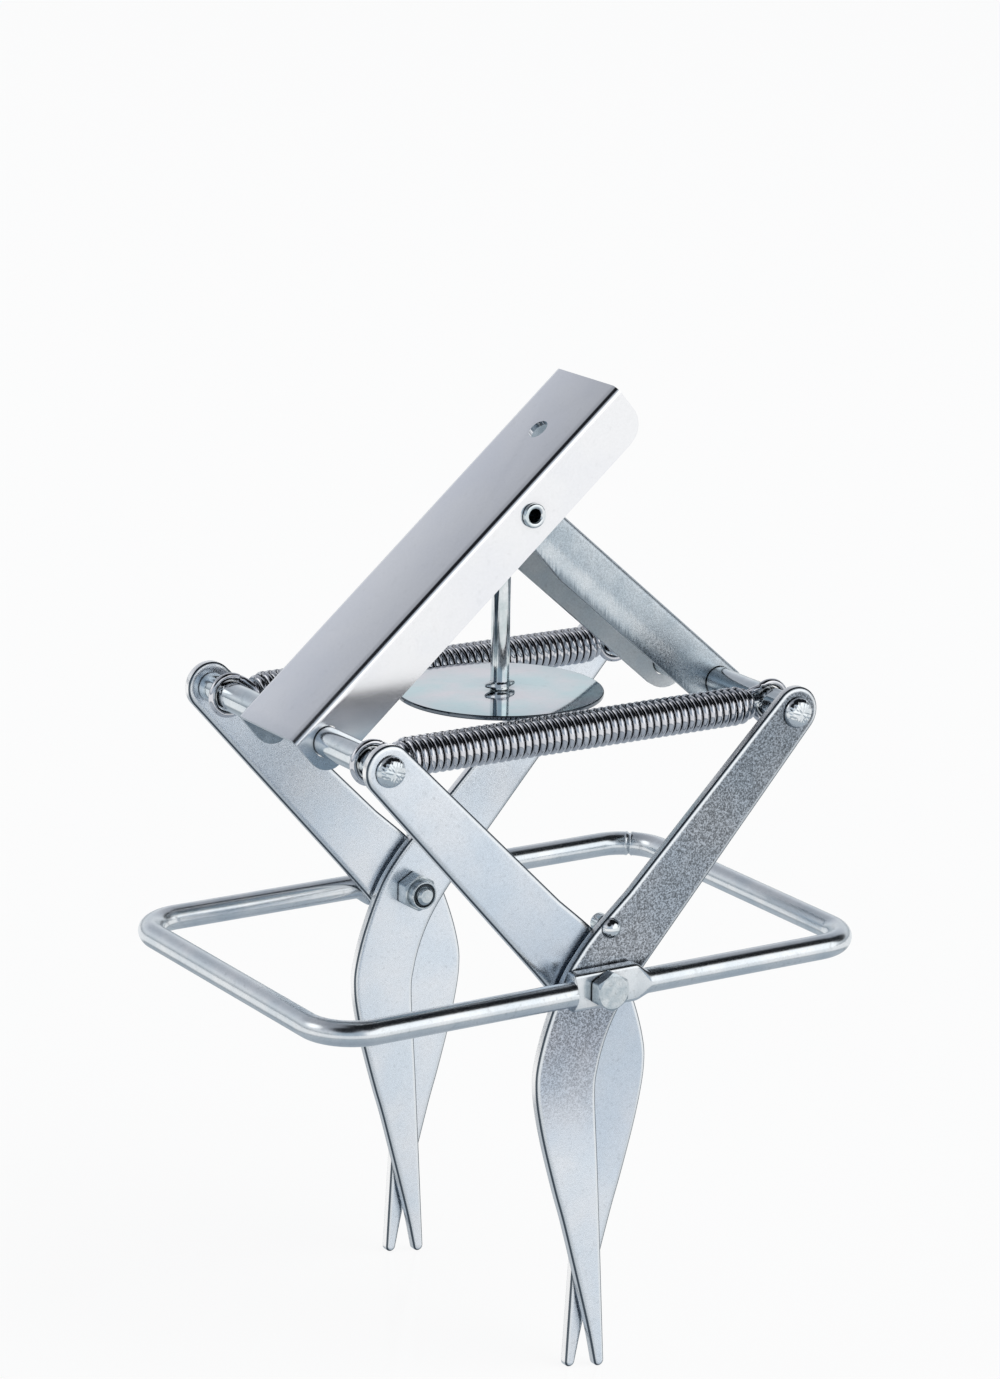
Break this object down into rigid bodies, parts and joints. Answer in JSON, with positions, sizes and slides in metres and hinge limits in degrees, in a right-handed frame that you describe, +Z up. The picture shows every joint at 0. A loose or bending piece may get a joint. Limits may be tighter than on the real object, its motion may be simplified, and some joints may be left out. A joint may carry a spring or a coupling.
{
  "type": "mole trap",
  "caption": "Scissor mole trap: crossed blades on a wire ground frame, drawn shut by coil springs and set by folding channel levers with a hanging trigger pan.",
  "frame": {"origin": "middle of the wire ground frame, on the ground under it", "axes": "+Z up, X along the frame's length, Y along the pivot bolts, with the front at -Y"},
  "size_m": [0.2018, 0.1376, 0.3066],
  "materials": {
    "frame_wire": "bright zinc plate over round bar",
    "fasteners": "bright zinc plate",
    "jaw_plate": "zinc plate over blanked steel, finely pitted",
    "crossbars": "zinc plate over turned bar",
    "outer_channel": "smooth zinc plate over pressed sheet",
    "inner_channel": "grainy zinc plate over pressed sheet",
    "trigger_metal": "polished zinc plate",
    "spring_wire": "bright plated spring wire"
  },
  "bodies": {
    "frame": {"ground_frame": "frame_wire"},
    "pivots": {"front_bolt": "fasteners", "back_bolt": "fasteners", "front_nut": "fasteners", "back_nut": "fasteners"},
    "right_jaws": {"front_right_jaw": "jaw_plate", "back_right_jaw": "jaw_plate", "right_crossbar": "crossbars", "front_stop_stud": "fasteners", "back_stop_stud": "fasteners"},
    "left_jaws": {"front_left_jaw": "jaw_plate", "back_left_jaw": "jaw_plate", "left_crossbar": "crossbars"},
    "outer_lever": {"outer_lever": "outer_channel"},
    "inner_lever": {"inner_lever": "inner_channel"},
    "hinge_pin": {"hinge_pin": "trigger_metal"},
    "trigger": {"trigger_sleeve": "trigger_metal", "trigger_stem": "trigger_metal", "trigger_pan": "trigger_metal"},
    "springs_left_end": {"front_spring": "spring_wire"},
    "springs_right_end": {"back_spring": "spring_wire"}
  },
  "joints": [
    {"name": "frame_tilt", "type": "hinge", "parent": "frame", "child": "pivots", "pos_m": [0, 0, 0.004], "axis": [0, 1, 0], "range_deg": [-18, 18]},
    {"name": "jaws_open", "type": "hinge", "parent": "pivots", "child": "right_jaws", "pos_m": [0, 0, 0.004], "axis": [0, 1, 0], "range_deg": [0, 20.5], "stiffness_Nm_per_rad": 20, "springref_deg": -24.98},
    {"name": "left_jaws_open", "type": "hinge", "parent": "pivots", "child": "left_jaws", "pos_m": [0, 0, 0.004], "axis": [0, -1, 0], "range_deg": [0, 20.5]},
    {"name": "outer_lever_fold", "type": "hinge", "parent": "left_jaws", "child": "outer_lever", "pos_m": [-0.073, 0, 0.08165], "axis": [0, 1, 0], "range_deg": [0, 52.3]},
    {"name": "inner_lever_fold", "type": "hinge", "parent": "right_jaws", "child": "inner_lever", "pos_m": [0.073, 0, 0.08165], "axis": [0, -1, 0], "range_deg": [0, 52.3]},
    {"name": "pin_plumb", "type": "hinge", "parent": "outer_lever", "child": "hinge_pin", "pos_m": [0, 0, 0.1444], "axis": [0, -1, 0], "range_deg": [0, 31.8]},
    {"name": "trigger_swing", "type": "hinge", "parent": "hinge_pin", "child": "trigger", "pos_m": [0, 0, 0.1444], "axis": [0, 1, 0], "range_deg": [-8, 8]},
    {"name": "springs_level", "type": "hinge", "parent": "left_jaws", "child": "springs_left_end", "pos_m": [-0.073, 0, 0.08165], "axis": [0, 1, 0], "range_deg": [0, 20.5]},
    {"name": "springs_stretch", "type": "slide", "parent": "springs_left_end", "child": "springs_right_end", "axis": [1, 0, 0], "range_m": [0, 0.0452], "deforming": ["front_spring", "back_spring"]}
  ],
  "couplings": [
    {"joint": "left_jaws_open", "follows": "jaws_open", "ratio": 1},
    {"joint": "outer_lever_fold", "follows": "jaws_open", "ratio": 2.55},
    {"joint": "inner_lever_fold", "follows": "jaws_open", "ratio": 2.55},
    {"joint": "pin_plumb", "follows": "jaws_open", "ratio": 1.55},
    {"joint": "springs_level", "follows": "jaws_open", "ratio": 1},
    {"joint": "springs_stretch", "follows": "jaws_open", "m_per_rad": 0.126}
  ]
}
